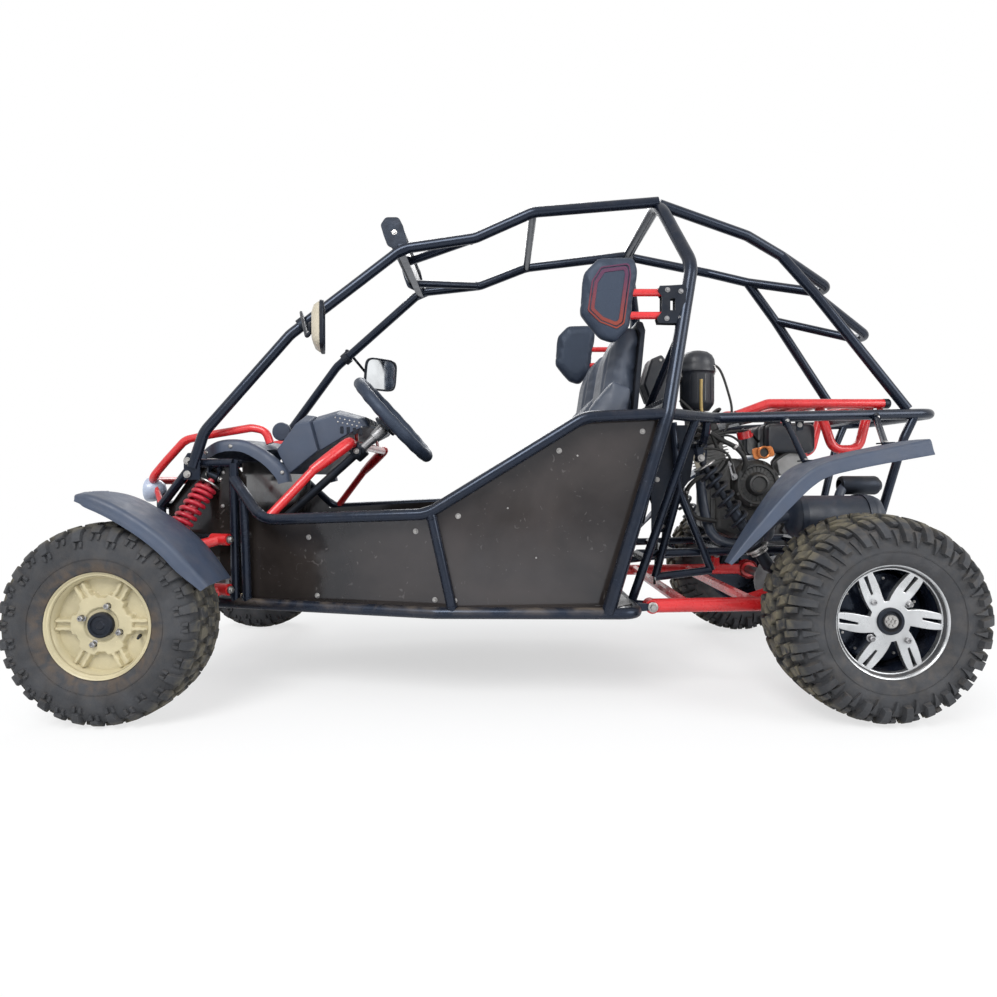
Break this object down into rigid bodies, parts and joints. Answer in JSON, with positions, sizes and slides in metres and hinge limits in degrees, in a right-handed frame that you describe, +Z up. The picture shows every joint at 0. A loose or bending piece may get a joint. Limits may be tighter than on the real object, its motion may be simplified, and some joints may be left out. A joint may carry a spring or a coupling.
{
  "type": "off-road go-kart",
  "caption": "Side-by-side off-road go-kart with a tubular roll cage, bucket seats, coil-over suspension, rack steering and a rear engine.",
  "frame": {"origin": "on the ground, at the middle of the whole kart in plan", "axes": "+X forward, +Y to the driver's left, +Z up"},
  "size_m": [2.7158, 1.4, 1.5318],
  "materials": {
    "black": "gloss black paint",
    "red": "gloss red paint",
    "plastic": "moulded dark blue-grey plastic",
    "panel": "gloss black paint on sheet",
    "cream": "satin cream paint",
    "alloy": "machined and painted alloy",
    "steel": "bare and zinc-plated steel",
    "tyre": "dusty rubber",
    "vinyl": "dark vinyl",
    "lamp": "lamp shell and lens",
    "engine": "black engine paint"
  },
  "bodies": {
    "chassis": {"lower_frame": "black", "main_hoop": "black", "front_cage": "black", "rear_cage": "black", "rear_frame": "black", "floor_pan": "panel", "dash_hoop": "red", "dashboard": "plastic", "front_cowl": "plastic", "front_bumper": "red", "light_bar": "black", "pedals": "steel", "rack_housing": "alloy", "swing_arm": "red", "engine": "engine", "muffler": "engine", "air_filter": "plastic", "fuel_tank": "plastic", "rear_rack": "red", "side_frame_left": "black", "side_frame_right": "black", "front_panel_left": "panel", "front_panel_right": "panel", "rear_panel_left": "panel", "rear_panel_right": "panel", "seat_left": "vinyl", "seat_right": "vinyl", "shoulder_guard_left": "vinyl", "shoulder_guard_right": "vinyl", "headlight_left": "lamp", "headlight_right": "lamp", "mirror_left": "cream", "mirror_right": "cream", "front_shock_left": "red", "front_shock_right": "red", "rear_shock_left": "black", "rear_shock_right": "black", "upper_arm_left": "red", "upper_arm_right": "red", "lower_arm_left": "red", "lower_arm_right": "red", "rear_fender_left": "plastic", "rear_fender_right": "plastic"},
    "steering_wheel": {"steering_wheel": "black"},
    "rack": {"steering_rack": "steel"},
    "rear_axle": {"rear_axle": "steel", "rear_rim_left": "alloy", "rear_tyre_left": "tyre", "rear_rim_right": "alloy", "rear_tyre_right": "tyre"},
    "knuckle_left": {"knuckle_left": "steel", "front_fender_left": "plastic"},
    "front_wheel_left": {"front_rim_left": "cream", "front_tyre_left": "tyre"},
    "knuckle_right": {"knuckle_right": "steel", "front_fender_right": "plastic"},
    "front_wheel_right": {"front_rim_right": "cream", "front_tyre_right": "tyre"}
  },
  "joints": [
    {"name": "steer_left", "type": "hinge", "parent": "chassis", "child": "knuckle_left", "pos_m": [1.093, 0.49, 0.31], "axis": [0, 0, 1], "range_deg": [-25, 25]},
    {"name": "steer_right", "type": "hinge", "parent": "chassis", "child": "knuckle_right", "pos_m": [1.093, -0.49, 0.31], "axis": [0, 0, 1], "range_deg": [-25.1, 25.1]},
    {"name": "rack_travel", "type": "slide", "parent": "chassis", "child": "rack", "axis": [0, 1, 0], "range_m": [-0.0475, 0.0475]},
    {"name": "steering_column", "type": "hinge", "parent": "chassis", "child": "steering_wheel", "pos_m": [0.398, 0.25, 0.829], "axis": [-0.7431, 0, 0.6691], "range_deg": [-113, 113]},
    {"name": "rear_axle_turn", "type": "hinge", "parent": "chassis", "child": "rear_axle", "pos_m": [-0.946, 0, 0.275], "axis": [0, 1, 0], "continuous": true},
    {"name": "front_wheel_left_turn", "type": "hinge", "parent": "knuckle_left", "child": "front_wheel_left", "pos_m": [1.093, 0.6, 0.265], "axis": [0, 1, 0], "continuous": true},
    {"name": "front_wheel_right_turn", "type": "hinge", "parent": "knuckle_right", "child": "front_wheel_right", "pos_m": [1.093, -0.6, 0.265], "axis": [0, 1, 0], "continuous": true}
  ],
  "couplings": [
    {"joint": "steer_right", "follows": "steer_left", "ratio": 1},
    {"joint": "rack_travel", "follows": "steer_left", "m_per_rad": -0.1085},
    {"joint": "steering_column", "follows": "steer_left", "ratio": 4.5}
  ]
}
